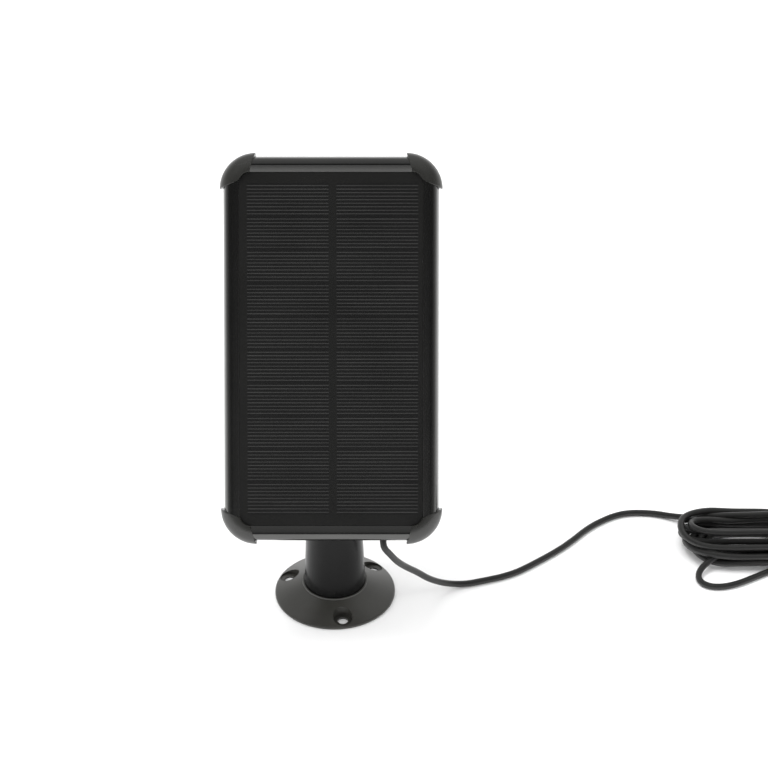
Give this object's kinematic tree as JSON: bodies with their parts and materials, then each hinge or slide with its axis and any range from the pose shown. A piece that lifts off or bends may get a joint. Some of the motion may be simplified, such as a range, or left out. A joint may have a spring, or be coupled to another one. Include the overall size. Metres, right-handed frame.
{
  "type": "solar charging panel",
  "caption": "Solar charging panel for an outdoor security camera, in a black frame with rounded corner caps, on a pan-and-tilt wall bracket, with its lead in a tied hank.",
  "frame": {"origin": "centre of the wall flange's mounting face", "axes": "+Z out of the mounting face along the neck, +X across the panel to its right as seen from the front, -Y towards the side that the panel faces"},
  "size_m": [0.3777, 0.1174, 0.2365],
  "materials": {
    "cast_metal": "satin, fine powder-coat grain",
    "anodised_rails": "black anodised, fine lengthwise draw lines",
    "moulded_caps": "black, fine moulded grain",
    "moulded_plastic": "black, moulded",
    "rubber": "matt black",
    "cable_jacket": "black PVC, slightly glossy",
    "panel_face": "etched front sheet over dark cells",
    "cell_silicon": "dark blue-black silicon",
    "laminate": "black laminate",
    "steel": "zinc-plated, fine turned lines",
    "black_steel": "blackened screws, satin",
    "brass": "turned",
    "circuit_board": "green solder mask",
    "electronics": "black and tinned component bodies",
    "lead_red": "red insulation",
    "low_friction": "white acetal"
  },
  "bodies": {
    "base": {"mount_flange": "cast_metal", "neck": "cast_metal", "neck_screws": "steel", "pan_friction_disc": "low_friction"},
    "swivel": {"swivel_head": "cast_metal", "pan_bolt": "steel", "pan_spring_washer": "steel", "tilt_bolt": "steel", "tilt_washers": "steel", "cable_drop": "cable_jacket", "cable_run": "cable_jacket", "cable_hank": "cable_jacket", "cable_tie": "moulded_plastic", "cable_tail": "cable_jacket", "plug_boot": "rubber", "plug_grip": "moulded_plastic", "plug_shell": "steel", "plug_tongue": "low_friction"},
    "knob": {"tilt_knob": "moulded_plastic", "knob_insert": "brass"},
    "panel": {"panel_bracket": "moulded_plastic", "bracket_screws": "black_steel", "rail_left": "anodised_rails", "rail_right": "anodised_rails", "rail_top": "anodised_rails", "rail_bottom": "anodised_rails", "corner_keys": "steel", "corner_cap_top_left": "moulded_caps", "corner_cap_top_right": "moulded_caps", "corner_cap_bottom_left": "moulded_caps", "corner_cap_bottom_right": "moulded_caps", "cap_screws": "black_steel", "solar_glass": "panel_face", "cells_left": "cell_silicon", "cells_right": "cell_silicon", "encapsulant": "laminate", "bus_ribbons": "steel", "backsheet": "laminate", "back_cover": "moulded_plastic", "cover_gasket": "rubber", "cover_screws": "black_steel", "charge_board": "circuit_board", "board_parts": "electronics", "board_screws": "steel", "panel_leads": "lead_red", "output_leads": "lead_red", "gland_housing": "moulded_plastic", "housing_screws": "black_steel", "strain_relief": "rubber", "cable_entry": "cable_jacket"}
  },
  "joints": [
    {"name": "pan", "type": "hinge", "parent": "base", "child": "swivel", "pos_m": [0, 0, 0.0605], "axis": [0, 0, 1], "range_deg": [-180, 180]},
    {"name": "tilt", "type": "hinge", "parent": "swivel", "child": "panel", "pos_m": [0, 0, 0.0795], "axis": [-1, 0, 0], "range_deg": [-30, 60], "deforming": ["cable_drop"]},
    {"name": "knob_turn", "type": "hinge", "parent": "swivel", "child": "knob", "pos_m": [0, 0, 0.0795], "axis": [-1, 0, 0], "range_deg": [0, 360]}
  ]
}
